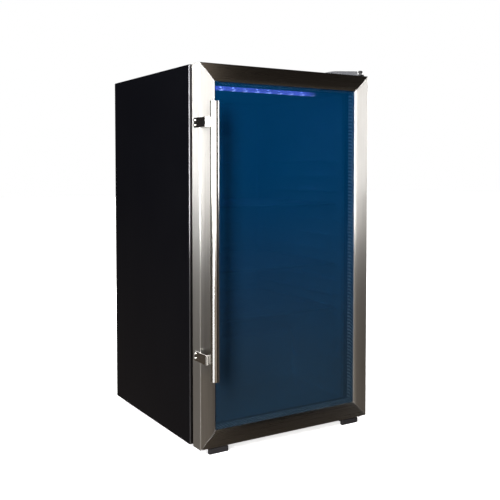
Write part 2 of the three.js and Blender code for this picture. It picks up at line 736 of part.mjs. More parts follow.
const controlFaceX = -insideX + 26;
const knobPlace = [controlFaceX, -52, 738];
const rockerPlace = [controlFaceX - 3, -52, 700];
const rockerTilt = THREE.MathUtils.degToRad(9);

// A cover on the left wall, hollow behind, with openings for the knob's shaft and the rocker.
function controlBox() {
  const [y, z] = [about(knobPlace[1], 56), [678, 764]];
  const wall = 2;
  const inner = [y, z].map(([low, high]) => [low + wall, high - wall]);
  return cut(
    prism(outline(rectangle(y, z), 8), 'x', [-insideX + touch, controlFaceX], 2, 3),
    block([-insideX - 5, controlFaceX - wall], ...inner),
    rod([controlFaceX - 9, knobPlace[1], knobPlace[2]], [controlFaceX + 5, knobPlace[1], knobPlace[2]], 3.6, 16),
    block([controlFaceX - 9, controlFaceX + 5], about(rockerPlace[1], 16), about(rockerPlace[2], 26)),
  );
}

// A round knob with a flat grip across it and a shaft that enters the box.
function thermostatKnob() {
  const dial = turned([
    [0, -7], [3, -7], [3, 0.6], [15, 0.6], [15.5, 3], [14.5, 5], [0, 5],
  ], 24);
  const grip = prism(outline(rectangle(about(0, 26), about(0, 7)), 3), 'z', [4, 13], 1.2, 3);
  return alongX(join(dial, grip));
}

// A rocker, thick in the middle, whose two halves fall away from its ridge.
function rocker() {
  const corners = [[-5, -10], [3.2, -11], [4.6, 0], [3.2, 11], [-5, 10]];
  const shape = outline(corners, 0.8);
  return prism(shape, 'y', about(0, 13), 0.6, 2).rotateY(rockerTilt);
}

add('control_box', controlBox(), knobPlastic);
add('thermostat_knob', thermostatKnob(), knobPlastic, knobPlace);
add('light_switch', rocker(), blackPlastic, rockerPlace);

// ---------------------------------------------------------------- evaporator and drain

const plateY = suctionY;
const plateSpan = 150;
const plateHeights = [216, 700];

// A thin plate with its refrigerant channel swollen out of one face, on four posts.
function evaporatorPlate() {
  const runs = 9;
  const margin = 22;
  const pitch = (plateHeights[1] - plateHeights[0] - 2 * margin) / (runs - 1);
  const swell = [plateY - 2, plateY + 0.5];
  const pieces = [block([-plateSpan, plateSpan], [plateY, plateY + 1.5], plateHeights)];
  for (let run = 0; run < runs; run += 1) {
    const z = plateHeights[0] + margin + run * pitch;
    const side = run % 2 ? 1 : -1;
    pieces.push(block([-plateSpan + margin, plateSpan - margin], swell, about(z, 8)));
    if (run < runs - 1) pieces.push(block(about(side * (plateSpan - margin - 4), 8), swell, [z, z + pitch]));
  }
  for (const x of [-plateSpan + 12, plateSpan - 12]) {
    for (const z of [plateHeights[0] + 12, plateHeights[1] - 12]) {
      pieces.push(rod([x, plateY + 1, z], [x, insideBackY - touch, z], 5, 10));
    }
  }
  return join(...pieces);
}

// The gutter under the plate, with a spout that drops through the liner's step.
function drainGutter() {
  const [x, y, z] = [[-105, 150], [plateY - 10, insideBackY - 11], [humpTopZ + touch, humpTopZ + 20]];
  const room = [[x[0] + 2, x[1] - 2], [y[0] + 2, y[1] - 2], [z[0] + 2, z[1] + 5]];
  const hole = rod([drainX, drainY, z[0] - 5], [drainX, drainY, z[0] + 5], drainRadius + touch, 12);
  return cut(block(x, y, z), block(...room), hole);
}

const hoseEndZ = 133;
const drainHose = () => sleeve(drainRadius - 1.5, drainRadius, hoseEndZ, humpTopZ + 4, 12);

add('evaporator_plate', evaporatorPlate(), spacerAluminium);
add('drain_gutter', drainGutter(), linerPlastic);
add('drain_hose', drainHose(), linerPlastic, [drainX, drainY, 0]);

// ---------------------------------------------------------------- compressor bay

const compressorX = 60;
const compressorY = 160;
const compressorBase = bayFloorZ + 8 + touch;
const canRadius = 59;
const legSpots = [[-62, -40], [62, -40], [-62, 40], [62, 40]];

// A welded can on a flat base that stands on four grommets.
function compressor() {
  const z = compressorBase;
  const can = turned([
    [0, z + 1], [42, z + 1], [54, z + 10], [canRadius, z + 24], [canRadius, z + 48], [canRadius + 2, z + 48],
    [canRadius + 2, z + 52], [canRadius, z + 52], [canRadius, z + 72], [55, z + 86], [44, z + 95],
    [26, z + 100.5], [0, z + 102],
  ], 24);
  const base = prism(outline(rectangle(about(0, 148), about(0, 104)), 10), 'z', [z, z + 3]);
  const legHoles = legSpots.map(([x, y]) => rod([x, y, z - 5], [x, y, z + 8], 4, 12));
  return join(can, cut(base, ...legHoles));
}

const grommet = () => turned([
  [0, 0], [9, 0], [9, 3], [7.4, 4], [9, 5], [9, 8], [3.6, 8], [3.6, 14], [0, 14],
], 10);

add('compressor', compressor(), compressorPaint, [compressorX, compressorY, 0]);
legSpots.forEach(([x, y], i) => {
  add(`compressor_grommet_${i + 1}`, grommet(), greyRubber, [compressorX + x, compressorY + y, bayFloorZ]);
});

// The starter and its cover, beside the can.
const relayBox = () => {
  const x = compressorX - canRadius - 2 - touch;
  return prism(outline(rectangle(about(compressorY, 42), [50, 96]), 4), 'x', [x - 24, x], 1.5, 3);
};

// A shallow tray on top of the can, where the drained water dries off.
const evaporationTray = () => {
  const [x, y] = [about(compressorX, 104), about(compressorY + 8, 96)];
  const floor = compressorBase + 102 + touch;
  const room = (span, inset) => [span[0] + inset, span[1] - inset];
  return cut(
    prism(outline(rectangle(x, y), 10), 'z', [floor, floor + 14], 0, 3),
    prism(outline(rectangle(room(x, 1.5), room(y, 1.5)), 8.5), 'z', [floor + 1.5, floor + 20], 0, 3),
  );
};

add('relay_box', relayBox(), blackPlastic);
add('evaporation_tray', evaporationTray(), blackPlastic);

// ---------------------------------------------------------------- condenser and pipes

const tubeRadius = 2.5;
const finRadius = 0.75; // of the cooling wires laid on the tube's rear
const condenserY = cabinetBackY + condenserDepth - 2 * finRadius - tubeRadius;
const condenserSide = 186;
const riserX = 202;
const condenserTop = 776;
const condenserRuns = 11;
const condenserPitch = 54;
const drierPlace = [-150, 226];
const drierTop = 122;

// One long tube: up beside the panel, to and fro down the back, and forward to the drier.
function condenser() {
  const corners = [[riserX, condenserY, 160], [riserX, condenserY, condenserTop]];
  for (let run = 0; run < condenserRuns; run += 1) {
    const z = condenserTop - run * condenserPitch;
    const side = run % 2 ? condenserSide : -condenserSide;
    if (run > 0) corners.push([-side, condenserY, z]);
    corners.push([side, condenserY, z]);
  }
  corners.push([-condenserSide, condenserY, 170]);
  corners.push([-condenserSide, condenserY, 140]);
  corners.push([drierPlace[0], drierPlace[1], 140]);
  corners.push([drierPlace[0], drierPlace[1], drierTop + touch]);
  const pieces = [tube(corners, tubeRadius, 14, 6, 2)];
  const wall = cabinetBackY - sheet;
  for (const x of [-150, 150]) {
    const strap = [condenserY - tubeRadius - 1.5, condenserY - tubeRadius + 0.5];
    pieces.push(block(about(x, 12), strap, [220, 790]));
    for (const z of [260, 750]) pieces.push(block(about(x, 10), [wall, strap[1]], about(z, 12)));
  }
  return join(...pieces);
}

const filterDrier = () => turned([
  [0, 42], [2.6, 42], [2.6, 50], [8.5, 58], [8.5, 106], [3.4, 114], [3.4, drierTop], [0, drierTop],
], 16);

// From the can's right side back to the foot of the condenser's riser.
const dischargePipe = () => tube([
  [compressorX + canRadius + 2 + touch, compressorY, 84], [150, compressorY, 84], [150, 236, 84],
  [riserX, condenserY, 110], [riserX, condenserY, 160 - touch],
], tubeRadius, 14, 6, 3);

// From the evaporator down through the step and the foam to the can's left rear.
function suctionPipe() {
  const outward = new THREE.Vector2(-40, 45).normalize();
  const spot = (reach) => [compressorX + outward.x * reach, compressorY + outward.y * reach, 96];
  return tube([
    spot(canRadius + 1), spot(canRadius + 24), [suctionX, 226, 96], [suctionX, suctionY, 128],
    [suctionX, suctionY, plateHeights[0] - touch],
  ], suctionRadius, 12, 6, 3);
}

// A rubber gland for the supply lead, held by its groove in the base plate's tab.
function cordGland() {
  const groove = sheet / 2 + touch;
  const profile = [
    [4, -9], [8, -9], [11, -groove - 3], [11, -groove], [8, -groove], [8, groove], [11, groove],
    [11, groove + 3], [4, groove + 3], [4, -9],
  ];
  return alongY(turned(profile, 16)).rotateZ(Math.PI);
}

add('condenser', condenser(), compressorPaint);
add('filter_drier', filterDrier(), copper, [...drierPlace, 0]);
add('discharge_pipe', dischargePipe(), copper);
add('suction_pipe', suctionPipe(), copper);
const tabMiddleY = cabinetBackY - sheet - touch - sheet / 2;
add('cord_gland', cordGland(), greyRubber, [glandX, tabMiddleY, glandZ]);

export default refrigerator;
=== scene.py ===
"""A glass-door drinks refrigerator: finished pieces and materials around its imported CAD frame.

Shapes are drawn in millimetres and scaled to metres when their mesh is made. X is to the
right, Y to the back, Z up, and the floor is at Z = 0.
"""
import json
import math

import bmesh
import bpy
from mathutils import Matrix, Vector


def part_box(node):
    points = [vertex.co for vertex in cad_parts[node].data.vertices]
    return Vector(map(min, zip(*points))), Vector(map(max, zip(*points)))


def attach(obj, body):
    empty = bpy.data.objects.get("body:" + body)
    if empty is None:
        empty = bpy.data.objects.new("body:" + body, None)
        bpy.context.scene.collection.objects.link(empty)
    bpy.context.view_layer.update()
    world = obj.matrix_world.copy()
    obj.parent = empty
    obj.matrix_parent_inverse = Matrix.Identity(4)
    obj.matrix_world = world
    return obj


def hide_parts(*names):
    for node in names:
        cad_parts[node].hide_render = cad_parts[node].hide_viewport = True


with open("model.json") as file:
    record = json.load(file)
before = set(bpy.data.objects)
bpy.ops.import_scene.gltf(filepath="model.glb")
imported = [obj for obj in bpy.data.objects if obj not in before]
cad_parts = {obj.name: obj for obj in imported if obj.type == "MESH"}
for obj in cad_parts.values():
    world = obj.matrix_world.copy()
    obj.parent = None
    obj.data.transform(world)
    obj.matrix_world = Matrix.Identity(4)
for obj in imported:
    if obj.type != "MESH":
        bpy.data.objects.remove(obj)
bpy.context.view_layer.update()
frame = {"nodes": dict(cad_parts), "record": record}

MM = 0.001
LED_PITCH = 30.7  # mm between the lamps of the strip light
LED_COUNT = 8
FIRST_LED = -134.5  # mm from the middle of the cabinet
LAST_LED = FIRST_LED + (LED_COUNT - 1) * LED_PITCH
LENS_BOTTOM = 776.3  # mm above the floor
HOLE_PITCH = 8.0  # mm between the marks along the glass spacer
CREASE = 19  # degrees; less than the fold at the door frame's slope, so its faces stay flat
scene = bpy.context.scene
body_of = {
    node: body
    for body, nodes in frame["record"]["behaviour"]["bodies"].items()
    for node in nodes
}


def place(node):
    """A CAD node's lowest corner, highest corner and middle, in millimetres."""
    low, high = (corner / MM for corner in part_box(node))
    return low, high, (low + high) / 2


# ---------------------------------------------------------------- camera

def make_camera():
    """The camera to the left of the door, a little above its middle."""
    yaw, pitch, roll = 0.568, 0.0426, 0.0015
    level = math.cos(pitch)
    forward = Vector((math.sin(yaw) * level, math.cos(yaw) * level, -math.sin(pitch)))
    data = bpy.data.cameras.new("camera")
    data.sensor_width = 36
    data.lens = 55.09
    data.shift_x = -0.0474
    data.shift_y = -0.093
    camera = bpy.data.objects.new("camera", data)
    camera.location = (-0.943, -1.638, 0.6006)
    camera.rotation_mode = "QUATERNION"
    turn = forward.to_track_quat("-Z", "Y").to_matrix()
    camera.rotation_quaternion = (turn @ turn.Rotation(roll, 3, "Z")).to_quaternion()
    scene.collection.objects.link(camera)
    scene.camera = camera


# ---------------------------------------------------------------- studio

PANEL_DISTANCE = 2.3  # metres from the middle of the object
WARM = (1.0, 0.84, 0.66)
DARK_SIDE = (0.552, -0.834, 0.0)  # level direction in which the room is darkest
DARK_STRENGTH = 0.45


class Nodes:
    """A node tree, and helpers that add nodes to it."""

    def __init__(self, tree):
        self.tree = tree

    def feed(self, socket, value):
        """Sets a socket to a plain value, or links another node's output to it."""
        if isinstance(value, bpy.types.NodeSocket):
            self.tree.links.new(value, socket)
        else:
            socket.default_value = value

    def node(self, kind, **inputs):
        made = self.tree.nodes.new("ShaderNode" + kind)
        for name, value in inputs.items():
            self.feed(made.inputs[name.replace("_", " ")], value)
        return made

    def operate(self, kind, operation, *values):
        """A Math or VectorMath node with its operation and its inputs in order."""
        made = self.node(kind)
        made.operation = operation
        for socket, value in zip(made.inputs, values):
            self.feed(socket, value)
        return made

    def maths(self, operation, *values):
        return self.operate("Math", operation, *values).outputs[0]

    def ranged(self, value, low, high, first=0.0, last=1.0, curve="LINEAR"):
        """The value taken from low..high to first..last, and held beyond them."""
        made = self.node("MapRange", Value=value, From_Min=low, From_Max=high, To_Min=first, To_Max=last)
        made.interpolation_type = curve
        return made.outputs[0]

    def blend(self, share, first, second):
        """Two shaders mixed; share is how much of the second shows."""
        made = self.node("MixShader", Fac=share)
        self.tree.links.new(first.outputs[0], made.inputs[1])
        self.tree.links.new(second.outputs[0], made.inputs[2])
        return made


def softbox(name, azimuth, size, bottom, radiance, diffuse=True, glossy=True, colour=(1, 1, 1)):
    """A bright panel that faces the object. Azimuth 0 is in front of the door, 90 to its right."""
    data = bpy.data.lights.new(name, "AREA")
    data.shape = "RECTANGLE"
    data.size, data.size_y = size
    data.energy = radiance * math.pi * size[0] * size[1]
    data.color = colour
    panel = bpy.data.objects.new(name, data)
    turn = math.radians(azimuth)
    height = bottom + size[1] / 2
    panel.location = (PANEL_DISTANCE * math.sin(turn), -PANEL_DISTANCE * math.cos(turn), height)
    aim = Vector((0, 0, height)) - panel.location
    panel.rotation_mode = "QUATERNION"
    panel.rotation_quaternion = aim.to_track_quat("-Z", "Y")
    panel.visible_camera = False
    panel.visible_diffuse = diffuse
    panel.visible_glossy = glossy
    scene.collection.objects.link(panel)


def overhead_light():
    """A wide soft light from above, even over the whole floor."""
    data = bpy.data.lights.new("overhead", "SUN")
    data.energy = 4.4
    data.angle = math.radians(70)
    sun = bpy.data.objects.new("overhead", data)
    sun.rotation_euler = (math.radians(4), math.radians(-4), 0)
    sun.visible_glossy = False
    scene.collection.objects.link(sun)


def studio_world():
    """White behind the object; a dim room in reflections, warmer and lighter towards the floor."""
    world = bpy.data.worlds.new("studio")
    scene.world = world
    world.use_nodes = True
    look = Nodes(world.node_tree)
    axes = look.node("SeparateXYZ", Vector=look.node("TexCoord").outputs["Generated"]).outputs
    ramp = look.node("ValToRGB", Fac=look.ranged(axes["Z"], -0.5, 0.0))
    ramp.color_ramp.elements[0].color = (0.135, 0.108, 0.083, 1)
    ramp.color_ramp.elements[1].color = (0.015, 0.013, 0.012, 1)
    flat = look.node("CombineXYZ", X=axes["X"], Y=axes["Y"]).outputs[0]
    level = look.operate("VectorMath", "NORMALIZE", flat).outputs[0]
    facing = look.operate("VectorMath", "DOT_PRODUCT", level, DARK_SIDE).outputs["Value"]
    room = world.node_tree.nodes["Background"]
    look.feed(room.inputs["Color"], ramp.outputs[0])
    look.feed(room.inputs["Strength"], look.ranged(facing, 0.85, 0.95, 1.0, DARK_STRENGTH))
    white = look.node("Background", Color=(1, 1, 1, 1))
    seen = look.node("LightPath").outputs["Is Camera Ray"]
    output = world.node_tree.nodes["World Output"]
    look.feed(output.inputs["Surface"], look.blend(seen, room, white).outputs[0])


def make_studio():
    scene.view_settings.view_transform = "Standard"
    softbox("key_lamp", -48.5, (0.6, 2.0), 0.3, 22.0, glossy=False)
    softbox("key_softbox", -50, (1.1, 2.0), 0.28, 22.0, diffuse=False)
    softbox("left_softbox", -95, (1.1, 1.8), 0.47, 5.5)
    softbox("back_fill", 160, (2.0, 2.0), 0.3, 4.0, glossy=False)
    softbox("low_left_panel", -60, (1.6, 1.4), -1.2, 1.3, diffuse=False)
    softbox("front_panel", -11, (1.1, 1.95), 0.28, 2.6, diffuse=False)
    softbox("beige_panel", 12, (0.7, 1.8), 0.28, 0.45, diffuse=False, colour=WARM)
    softbox("low_front_panel", -9, (1.36, 1.6), -1.2, 0.26, diffuse=False, colour=WARM)
    softbox("right_panel", 70, (0.7, 1.8), 0.5, 7.5, diffuse=False)
    overhead_light()
    studio_world()
    bpy.ops.mesh.primitive_plane_add(size=30)
    floor = bpy.context.object
    floor.name = "floor"
    floor.data.materials.append(pale_floor())
    floor.visible_glossy = False
    floor.visible_diffuse = False
    floor.visible_shadow = False


# ---------------------------------------------------------------- materials

class Look(Nodes):
    """A material that starts with one Principled shader."""

    def __init__(self, name, colour, roughness, metallic=0.0, **sockets):
        self.material = bpy.data.materials.new(name)
        self.material.use_nodes = True
        super().__init__(self.material.node_tree)
        self.shader = self.tree.nodes["Principled BSDF"]
        self.shader.inputs["Base Color"].default_value = (*colour, 1)
        self.shader.inputs["Roughness"].default_value = roughness
        self.shader.inputs["Metallic"].default_value = metallic
        for socket, value in sockets.items():
            self.shader.inputs[socket.replace("_", " ")].default_value = value

    def link(self, output, socket):
        self.tree.links.new(output, self.shader.inputs[socket])

    def show(self, surface):
        """Puts another shader in the Principled one's place."""
        self.feed(self.tree.nodes["Material Output"].inputs["Surface"], surface.outputs[0])
        self.tree.nodes.remove(self.shader)

    def position(self):
        return self.node("TexCoord").outputs["Object"]

    def axes(self):
        """The position as separate X, Y and Z, in metres."""
        return self.node("SeparateXYZ", Vector=self.position()).outputs

    def noise(self, stretch, detail=3.0):
        """Noise with stretch periods to the metre along X, Y and Z."""
        mapped = self.node("Mapping", Vector=self.position(), Scale=stretch).outputs[0]
        return self.node("TexNoise", Vector=mapped, Scale=1.0, Detail=detail).outputs["Fac"]

    def vary_roughness(self, value, low, high):
        self.link(self.ranged(value, 0.3, 0.7, low, high), "Roughness")

    def vary_colour(self, value, first, second):
        ramp = self.node("ValToRGB", Fac=value)
        for element, position, colour in zip(ramp.color_ramp.elements, (0.35, 0.65), (first, second)):
            element.position = position
            element.color = (*colour, 1)
        self.link(ramp.outputs[0], "Base Color")

    def bump(self, height, depth, strength=1.0):
        """Relief whose full height is depth millimetres."""
        relief = self.node("Bump", Height=height, Distance=depth * MM, Strength=strength)
        self.link(relief.outputs[0], "Normal")

    def brush(self, x, y, z):
        """Stretches reflections across a direction, as brushing does."""
        self.link(self.node("CombineXYZ", X=x, Y=y, Z=z).outputs[0], "Tangent")


def even(periods):
    return (periods, periods, periods)


def pale_floor():
    look = Look("pale_floor", (0.9, 0.9, 0.9), 0.9, Emission_Color=(1, 1, 1, 1), Emission_Strength=0.7)
    look.vary_colour(look.noise(even(0.8)), (0.895, 0.895, 0.895), (0.905, 0.905, 0.905))
    return look.material


def brushed_steel(name, colour, grain, roughness, spread):
    """Steel brushed along one axis: "X" on level rails, "Z" on upright ones."""
    look = Look(name, colour, roughness, 1.0, Anisotropic=1.0)
    stretch = {"X": (9, 1500, 1500), "Z": (1500, 1500, 9)}[grain]
    lines = look.noise(stretch, 5.0)
    look.vary_colour(lines, tuple(c * 0.95 for c in colour), tuple(c * 1.05 for c in colour))
    look.vary_roughness(lines, roughness - spread, roughness + spread)
    look.bump(lines, 0.1 * spread, 0.5)
    look.brush(*{"X": (0, 1, 1), "Z": (1, 1, 0)}[grain])
    return look.material


def painted_flange():
    """Glossy paint with a painted highlight along the outer edge and a painted shadow of the door's seal
    further in.
    """
    painted_highlight_width = 7
    look = Look("painted_flange", (0.15, 0.148, 0.155), 0.3, 1.0, Anisotropic=1.0)
    outer_edge = place("outer_wrap")[1].x
    outward = look.maths("ABSOLUTE", look.axes()["X"])
    # Pale at the outer edge as a painted highlight on the rounded bend, dark further in as painted shadow
    # of the door and its seal.
    edge_highlight_mask = look.ranged(outward, (outer_edge - painted_highlight_width) * MM, outer_edge * MM)
    look.vary_colour(edge_highlight_mask, (0.03, 0.026, 0.026), (0.17, 0.168, 0.175))
    look.vary_roughness(look.noise((1500, 1500, 9), 5.0), 0.28, 0.32)
    look.brush(1.0, 1.0, 0.0)
    return look.material


def handle_steel():
    look = Look("handle_steel", (0.70, 0.685, 0.66), 0.17, 1.0)
    lines = look.noise((700, 700, 14), 4.0)
    look.vary_roughness(lines, 0.14, 0.2)
    look.bump(lines, 0.0005, 0.4)
    return look.material


def zinc_steel(name, brightness):
    look = Look(name, (0.55, 0.56, 0.60), 0.36, 1.0)
    patches = look.noise(even(120))
    darker, lighter = (0.48, 0.49, 0.54), (0.62, 0.63, 0.66)
    look.vary_colour(patches, *(tuple(c * brightness for c in shade) for shade in (darker, lighter)))
    look.vary_roughness(patches, 0.3, 0.44)
    return look.material


def black_paint():
    """Satin black paint with a faint orange-peel surface and soft handling marks."""
    look = Look("black_paint", (0.0022, 0.0024, 0.0036), 0.22, 0.0, Specular_IOR_Level=0.15)
    look.vary_colour(look.noise(even(5)), (0.002, 0.0022, 0.0034), (0.0024, 0.0026, 0.0038))
    look.vary_roughness(look.noise(even(7), 5.0), 0.19, 0.27)
    look.bump(look.noise(even(900), 2.0), 0.012, 0.35)
    return look.material


def galvanised_steel():
    """Zinc-coated sheet with its crystals showing."""
    look = Look("galvanised_steel", (0.42, 0.44, 0.46), 0.45, 0.85)
    crystals = look.node("TexVoronoi", Vector=look.position(), Scale=90.0).outputs["Color"]
    value = look.node("SeparateColor", Color=crystals).outputs[0]
    look.vary_colour(value, (0.36, 0.38, 0.40), (0.50, 0.52, 0.54))
    look.vary_roughness(value, 0.38, 0.52)
    return look.material


def moulded_plastic(name, colour, roughness, grain=0.01, spread=0.06):
    """Plastic with a fine moulded grain; its colour varies by a small share."""
    look = Look(name, colour, roughness)
    darker = tuple(c * (1 - spread) for c in colour)
    lighter = tuple(min(1.0, c * (1 + spread)) for c in colour)
    look.vary_colour(look.noise(even(14)), darker, lighter)
    look.vary_roughness(look.noise(even(60)), roughness - 0.05, roughness + 0.05)
    look.bump(look.noise(even(1400), 2.0), grain, 0.5)
    return look.material


def insulation_foam():
    look = Look("insulation_foam", (0.68, 0.55, 0.3), 0.9)
    cells = look.node("TexVoronoi", Vector=look.position(), Scale=500.0).outputs["Distance"]
    look.vary_colour(cells, (0.60, 0.47, 0.24), (0.74, 0.62, 0.36))
    look.bump(cells, 0.5, 0.6)
    return look.material


def seal_rubber():
    look = Look("seal_rubber", (0.018, 0.017, 0.02), 0.62)
    look.vary_colour(look.noise(even(40)), (0.015, 0.014, 0.017), (0.022, 0.021, 0.025))
    look.vary_roughness(look.noise(even(160)), 0.55, 0.7)
    look.bump(look.noise(even(1800), 2.0), 0.01, 0.5)
    return look.material


def bare_aluminium():
    look = Look("bare_aluminium", (0.66, 0.67, 0.68), 0.38, 1.0)
    lines = look.noise((40, 900, 900))
    look.vary_colour(lines, (0.60, 0.61, 0.62), (0.70, 0.71, 0.72))
    look.vary_roughness(lines, 0.32, 0.45)
    return look.material


def perforated_aluminium():
    """The spacer's metal, with dark bands where its small holes would be."""
    look = Look("perforated_aluminium", (0.6, 0.6, 0.6), 0.42)
    axes = look.axes()
    half_pitch = HOLE_PITCH / 2 * MM
    from_hole = look.maths("PINGPONG", look.maths("ADD", axes["X"], axes["Z"]), half_pitch)
    look.vary_colour(look.ranged(from_hole, 0.0, half_pitch), (0.16, 0.16, 0.16), (0.95, 0.95, 0.95))
    return look.material


def shelf_wire():
    look = Look("shelf_wire", (0.76, 0.77, 0.80), 0.22, 0.5)
    patches = look.noise(even(180))
    look.vary_colour(patches, (0.72, 0.73, 0.76), (0.80, 0.81, 0.84))
    look.vary_roughness(patches, 0.17, 0.28)
    return look.material


def compressor_paint():
    look = Look("compressor_paint", (0.012, 0.012, 0.014), 0.3)
    look.vary_colour(look.noise(even(25)), (0.010, 0.010, 0.012), (0.016, 0.016, 0.018))
    look.vary_roughness(look.noise(even(40)), 0.24, 0.38)
    look.bump(look.noise(even(500), 2.0), 0.02, 0.4)
    return look.material


def copper():
    look = Look("copper", (0.72, 0.36, 0.22), 0.3, 1.0)
    patches = look.noise(even(90), 5.0)
    look.vary_colour(patches, (0.50, 0.23, 0.13), (0.78, 0.42, 0.27))
    look.vary_roughness(patches, 0.24, 0.42)
    return look.material


def led_light(name, colour, strength):
    look = Look(name, (0.8, 0.85, 1.0), 0.4, Emission_Color=(*colour, 1), Emission_Strength=strength)
    look.vary_roughness(look.noise(even(300)), 0.35, 0.45)
    return look.material


def tinted_pane(name, tint, haze, haze_painted_dim_low, haze_painted_lit_high, mirror):
    """Glass that takes tint at each face, with a film of haze whose colour changes with height as painted
    light, brighter high up and dimmer low down.
    """
    look = Look(name, haze_painted_lit_high, 0.5)
    clear = look.node("BsdfTransparent", Color=(*tint, 1))
    shade = look.node("Mix")
    shade.data_type = "RGBA"
    share, low, high = shade.inputs[0], shade.inputs[6], shade.inputs[7]
    # Haze colour from the low colour at the bottom to the high colour at the top: painted light, brighter
    # and bluer high up, dimmer and greyer low down.
    look.feed(share, look.ranged(look.axes()["Z"], 0.05, 0.62, curve="SMOOTHSTEP"))
    look.feed(low, (*haze_painted_dim_low, 1))
    look.feed(high, (*haze_painted_lit_high, 1))
    film = look.node("BsdfDiffuse", Color=shade.outputs[2])
    cloud = look.ranged(look.noise(even(7), 4.0), 0.3, 0.7, haze * 0.9, haze * 1.1)
    body = look.blend(cloud, clear, film)
    steep = look.maths("POWER", look.node("LayerWeight", Blend=0.5).outputs["Facing"], 5)
    shine = look.node("BsdfGlossy", Roughness=0.03)
    look.show(look.blend(look.maths("MULTIPLY_ADD", steep, 0.96, mirror), body, shine))
    return look.material


def lens_plastic():
    """The light's cover: clear with a blue glow, brightest low down over each lamp."""
    spot_reach = 5
    fade_start, fade_end = LAST_LED + 5, LAST_LED + 45
    look = Look("lens_plastic", (0.5, 0.6, 1.0), 0.2)
    axes = look.axes()
    between = (FIRST_LED - LED_PITCH / 2) * MM
    half_pitch = LED_PITCH / 2 * MM
    along = look.maths("PINGPONG", look.maths("SUBTRACT", axes["X"], between), half_pitch)
    spot = look.ranged(along, (LED_PITCH / 2 - spot_reach) * MM, half_pitch, curve="SMOOTHERSTEP")
    low = look.ranged(axes["Z"], LENS_BOTTOM * MM, (LENS_BOTTOM + spot_reach) * MM, 1.0, 0.0, "SMOOTHSTEP")
    glow = look.node("Emission", Color=(0.5, 0.25, 1.0, 1), Strength=3.4)
    flare = look.node("Emission", Color=(1.0, 0.5, 0.75, 1), Strength=17.0)
    light = look.blend(look.maths("MULTIPLY", spot, low), glow, flare)
    streaks = look.ranged(look.noise((4, 300, 300)), 0.3, 0.7, 0.25, 0.45)
    lit = look.ranged(axes["X"], fade_start * MM, fade_end * MM, 1.0, 0.0, "SMOOTHSTEP")
    clear = look.node("BsdfTransparent", Color=(0.9, 0.93, 1.0, 1))
    look.show(look.blend(look.maths("MULTIPLY", streaks, lit), clear, light))
    return look.material


# One steel in two copies: the level rails' copy is painted darker as painted shade, and the upright
# stiles' copy lighter as painted light.
STEEL_LEVEL_SHADED = brushed_steel("brushed_steel_level_shaded", (0.58, 0.56, 0.54), "X", 0.28, 0.01)
STEEL_UPRIGHT_LIT = brushed_steel("brushed_steel_upright_lit", (0.63, 0.615, 0.59), "Z", 0.3, 0.02)
FLANGE = painted_flange()
HANDLE = handle_steel()
ZINC = zinc_steel("zinc_steel", 1.0)
# A copy of the zinc at 0.16 of its brightness: painted shade for the top hinge leaf.
SHADED_ZINC = zinc_steel("shaded_zinc_steel", 0.16)
PAINT = black_paint()
GALVANISED = galvanised_steel()
BLACK_PLASTIC = moulded_plastic("black_plastic", (0.012, 0.012, 0.014), 0.48)
FOOT_PLASTIC = moulded_plastic("foot_plastic", (0.014, 0.012, 0.014), 0.62, grain=0.02)
LINER = moulded_plastic("liner_plastic", (0.70, 0.73, 0.76), 0.42, spread=0.02)
CONTROL = moulded_plastic("control_plastic", (0.74, 0.74, 0.72), 0.4, spread=0.02)
FOAM = insulation_foam()
RUBBER = seal_rubber()
ALUMINIUM = bare_aluminium()
SPACER = perforated_aluminium()
WIRE = shelf_wire()
COMPRESSOR = compressor_paint()
COPPER = copper()
# The haze colours are painted light: bright blue high on the pane, dim grey low down.
OUTER_GLASS = tinted_pane("outer_pane_glass", tint=(0.66, 0.74, 0.8), haze=0.42,
                          haze_painted_dim_low=(0.026, 0.054, 0.086), haze_painted_lit_high=(0.0001, 0.06, 0.174), mirror=0.04)
INNER_GLASS = tinted_pane("inner_pane_glass", tint=(0.55, 0.8, 0.9), haze=0.01,
                          haze_painted_dim_low=(0.05, 0.06, 0.08), haze_painted_lit_high=(0.05, 0.1, 0.15), mirror=0.01)
LED_BOARD = led_light("led_board", (0.3, 0.16, 1.0), 0.8)
LED_CHIP = led_light("led_chip", (1.0, 0.6, 0.9), 16.0)
LENS = lens_plastic()


# ---------------------------------------------------------------- shapes, in millimetres

AXES = {"X": ((0, 1, 0), (0, 0, 1), (1, 0, 0)), "Y": ((1, 0, 0), (0, 0, 1), (0, 1, 0)),
        "Z": ((1, 0, 0), (0, 1, 0), (0, 0, 1))}


def at(axis, a, b, along):
    """The point a and b across an axis, and so far along it."""
    first, second, third = (Vector(v) for v in AXES[axis])
    return first * a + second * b + third * along


def rounded(corners, steps=6):
    """An outline's points. A corner (a, b, reach) becomes a curve that starts reach before it."""
    points = []
    for i, (a, b, *reach) in enumerate(corners):
        here = Vector((a, b))
        if not reach:
            points.append(here)
            continue
        before = Vector(corners[i - 1][:2]) - here
        after = Vector(corners[(i + 1) % len(corners)][:2]) - here
        start = here + before.normalized() * reach[0]
        end = here + after.normalized() * reach[0]
        for step in range(steps + 1):
            t = step / steps
            points.append(start.lerp(here, t).lerp(here.lerp(end, t), t))
    return points


def quarter_turn(steps=4):
    return [math.pi / 2 * step / steps for step in range(steps + 1)]


def rectangle(low, high, reach=0.0):
    corners = [(low[0], low[1]), (high[0], low[1]), (high[0], high[1]), (low[0], high[1])]
    return rounded([(*corner, reach) for corner in corners]) if reach else [Vector(c) for c in corners]


def skin(bm, low, high):
    """Faces between two rings; a ring may be a single point."""
    below, above = len(low), len(high)
    for k in range(max(below, above)):
        corners = [low[k % below], low[(k + 1) % below], high[(k + 1) % above], high[k % above]]
        bm.faces.new(list(dict.fromkeys(corners)))


def prism(bm, points, axis, span):
    """A solid with one outline across an axis, between the two ends of span."""
    ends = [[bm.verts.new(at(axis, a, b, along)) for a, b in points] for along in span]
    skin(bm, *ends)
    for end in ends:
        bm.faces.new(end)


